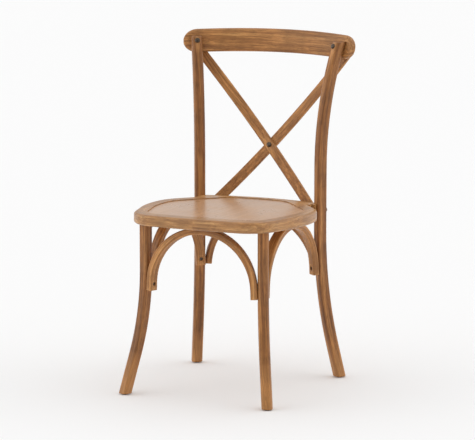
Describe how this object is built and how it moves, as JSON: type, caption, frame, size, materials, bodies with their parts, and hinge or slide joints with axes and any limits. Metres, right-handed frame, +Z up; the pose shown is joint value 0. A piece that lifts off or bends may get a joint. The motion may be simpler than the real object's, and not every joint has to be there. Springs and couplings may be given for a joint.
{
  "type": "chair",
  "caption": "Bentwood side chair with a round-cornered seat, outswept legs, a curved crest rail, crossed bent braces in the back and hoop arches bracing the legs under the seat.",
  "frame": {"origin": "bottom centre of the chair's bounding box, on the floor", "axes": "+Z up; -Y is the front that a sitter faces; +X is the right side as seen from the front"},
  "size_m": [0.486, 0.504, 0.8845],
  "materials": {
    "arch_crown_screws": "dark bronzed steel",
    "arch_end_screws": "dark bronzed steel",
    "back_arch": "medium brown stained hardwood under semi-gloss lacquer",
    "brace_lower_screws": "dark bronzed steel",
    "brace_upper_screws": "dark bronzed steel",
    "crest_bolts": "dark bronzed steel",
    "crest_nuts": "dark bronzed steel",
    "crest_rail": "medium brown stained hardwood under semi-gloss lacquer",
    "cross_bolt": "dark bronzed steel",
    "cross_nut": "dark bronzed steel",
    "foot_glides": "matte black plastic glide",
    "front_arch": "medium brown stained hardwood under semi-gloss lacquer",
    "front_brace": "medium brown stained hardwood under semi-gloss lacquer",
    "left_arch": "medium brown stained hardwood under semi-gloss lacquer",
    "left_back_post": "medium brown stained hardwood under semi-gloss lacquer",
    "left_front_block": "medium brown stained hardwood under semi-gloss lacquer",
    "left_front_leg": "medium brown stained hardwood under semi-gloss lacquer",
    "left_rear_block": "medium brown stained hardwood under semi-gloss lacquer",
    "rail_dowels": "medium brown stained hardwood under semi-gloss lacquer",
    "rear_brace": "medium brown stained hardwood under semi-gloss lacquer",
    "rear_seat_rail": "medium brown stained hardwood under semi-gloss lacquer",
    "right_arch": "medium brown stained hardwood under semi-gloss lacquer",
    "right_back_post": "medium brown stained hardwood under semi-gloss lacquer",
    "right_front_block": "medium brown stained hardwood under semi-gloss lacquer",
    "right_front_leg": "medium brown stained hardwood under semi-gloss lacquer",
    "right_rear_block": "medium brown stained hardwood under semi-gloss lacquer",
    "seat_bolts": "dark bronzed steel",
    "seat_frame": "medium brown stained hardwood under semi-gloss lacquer",
    "seat_panel": "medium brown stained hardwood under semi-gloss lacquer"
  },
  "bodies": {
    "root": {"arch_crown_screws": "arch_crown_screws", "arch_end_screws": "arch_end_screws", "back_arch": "back_arch", "brace_lower_screws": "brace_lower_screws", "brace_upper_screws": "brace_upper_screws", "crest_bolts": "crest_bolts", "crest_nuts": "crest_nuts", "crest_rail": "crest_rail", "cross_bolt": "cross_bolt", "cross_nut": "cross_nut", "foot_glides": "foot_glides", "front_arch": "front_arch", "front_brace": "front_brace", "left_arch": "left_arch", "left_back_post": "left_back_post", "left_front_block": "left_front_block", "left_front_leg": "left_front_leg", "left_rear_block": "left_rear_block", "rail_dowels": "rail_dowels", "rear_brace": "rear_brace", "rear_seat_rail": "rear_seat_rail", "right_arch": "right_arch", "right_back_post": "right_back_post", "right_front_block": "right_front_block", "right_front_leg": "right_front_leg", "right_rear_block": "right_rear_block", "seat_bolts": "seat_bolts", "seat_frame": "seat_frame", "seat_panel": "seat_panel"}
  },
  "joints": []
}
